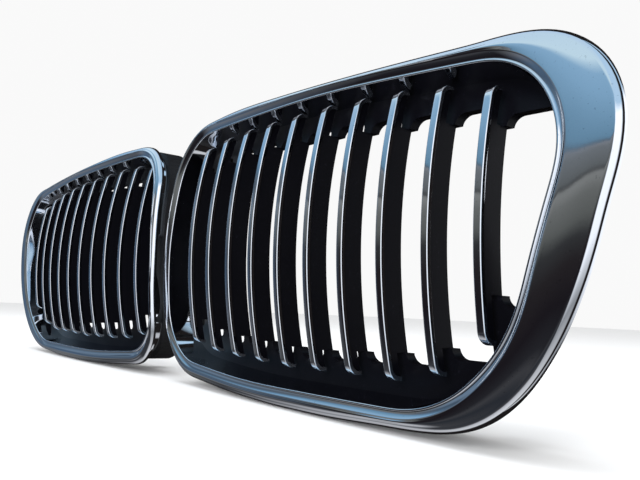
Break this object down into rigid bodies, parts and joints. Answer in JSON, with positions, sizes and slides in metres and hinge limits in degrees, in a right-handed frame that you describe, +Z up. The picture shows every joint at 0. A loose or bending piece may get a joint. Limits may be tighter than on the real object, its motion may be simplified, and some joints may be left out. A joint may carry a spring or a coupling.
{
  "type": "front grille",
  "caption": "Twin front grille for a car: two rounded bright surrounds with upright bowed slats, black carrier frames and rear shells with latches and pegs.",
  "frame": {"origin": "centre of the bounding box of both halves", "axes": "+X across the car, away from the middle on the half named right, -Y is the way the grille faces, +Z is up. The halves mirror each other about X = 0"},
  "size_m": [0.5148, 0.044, 0.1308],
  "materials": {
    "bright_plating": "mirror-bright plated plastic",
    "black_gloss": "smooth black plastic",
    "black_grained": "fine-grained black plastic"
  },
  "bodies": {
    "root": {"surround_ring_right": "bright_plating", "carrier_frame_right": "black_gloss", "rear_shell_right": "black_grained", "slat_blade_right_01": "black_gloss", "slat_blade_right_02": "black_gloss", "slat_blade_right_03": "black_gloss", "slat_blade_right_04": "black_gloss", "slat_blade_right_05": "black_gloss", "slat_blade_right_06": "black_gloss", "slat_blade_right_07": "black_gloss", "slat_blade_right_08": "black_gloss", "slat_blade_right_09": "black_gloss", "slat_blade_right_10": "black_gloss", "slat_cap_right_01": "bright_plating", "slat_cap_right_02": "bright_plating", "slat_cap_right_03": "bright_plating", "slat_cap_right_04": "bright_plating", "slat_cap_right_05": "bright_plating", "slat_cap_right_06": "bright_plating", "slat_cap_right_07": "bright_plating", "slat_cap_right_08": "bright_plating", "slat_cap_right_09": "bright_plating", "slat_cap_right_10": "bright_plating", "surround_ring_left": "bright_plating", "carrier_frame_left": "black_gloss", "rear_shell_left": "black_grained", "slat_blade_left_01": "black_gloss", "slat_blade_left_02": "black_gloss", "slat_blade_left_03": "black_gloss", "slat_blade_left_04": "black_gloss", "slat_blade_left_05": "black_gloss", "slat_blade_left_06": "black_gloss", "slat_blade_left_07": "black_gloss", "slat_blade_left_08": "black_gloss", "slat_blade_left_09": "black_gloss", "slat_blade_left_10": "black_gloss", "slat_cap_left_01": "bright_plating", "slat_cap_left_02": "bright_plating", "slat_cap_left_03": "bright_plating", "slat_cap_left_04": "bright_plating", "slat_cap_left_05": "bright_plating", "slat_cap_left_06": "bright_plating", "slat_cap_left_07": "bright_plating", "slat_cap_left_08": "bright_plating", "slat_cap_left_09": "bright_plating", "slat_cap_left_10": "bright_plating"}
  },
  "joints": []
}
